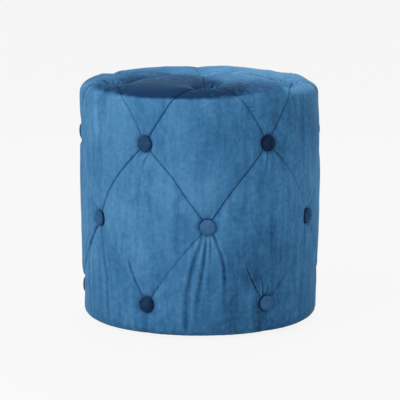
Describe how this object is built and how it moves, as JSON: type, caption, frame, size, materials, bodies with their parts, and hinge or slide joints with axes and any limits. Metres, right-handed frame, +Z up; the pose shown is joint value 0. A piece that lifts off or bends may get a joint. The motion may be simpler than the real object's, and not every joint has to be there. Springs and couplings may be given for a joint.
{
  "type": "footstool",
  "caption": "Round velvet footstool or pouf with straight sides and a padded top, deep button tufting in diamonds all round, and low glides under a closed base.",
  "frame": {"origin": "middle of the footstool at floor level, under the glides", "axes": "+Z up along the footstool's axis, -Y towards the front, which has a button of the middle row on it"},
  "size_m": [0.35, 0.35, 0.3599],
  "materials": {
    "velvet": "short-pile velvet with a soft sheen",
    "button_velvet": "short-pile velvet, stretched over the button",
    "button_metal": "pressed, plain",
    "twine": "waxed",
    "toggle_wood": "sawn, bare",
    "plywood": "sanded, bare",
    "post_wood": "planed, bare",
    "hardboard": "smooth, bare",
    "foam": "open-cell foam, matte",
    "dust_cloth": "thin non-woven cloth, matte",
    "glide_plastic": "moulded, satin",
    "screw_steel": "yellow zinc",
    "staple_steel": "galvanised"
  },
  "bodies": {
    "root": {"lower_buttons": "button_velvet", "lower_button_backs": "button_metal", "lower_twines": "twine", "lower_toggles": "toggle_wood", "middle_buttons": "button_velvet", "middle_button_backs": "button_metal", "middle_twines": "twine", "middle_toggles": "toggle_wood", "upper_buttons": "button_velvet", "upper_button_backs": "button_metal", "upper_twines": "twine", "upper_toggles": "toggle_wood", "top_buttons": "button_velvet", "top_button_backs": "button_metal", "top_twines": "twine", "top_toggles": "toggle_wood", "base_screws": "screw_steel", "top_screws": "screw_steel", "hem_staples": "staple_steel", "dust_cover_staples": "staple_steel", "wall_staples": "staple_steel", "glides": "glide_plastic", "base_board": "plywood", "top_board": "plywood", "post_1": "post_wood", "post_2": "post_wood", "post_3": "post_wood", "post_4": "post_wood", "drum_wall": "hardboard", "side_foam": "foam", "top_foam": "foam", "dust_cover": "dust_cloth", "velvet_cover": "velvet"}
  },
  "joints": []
}
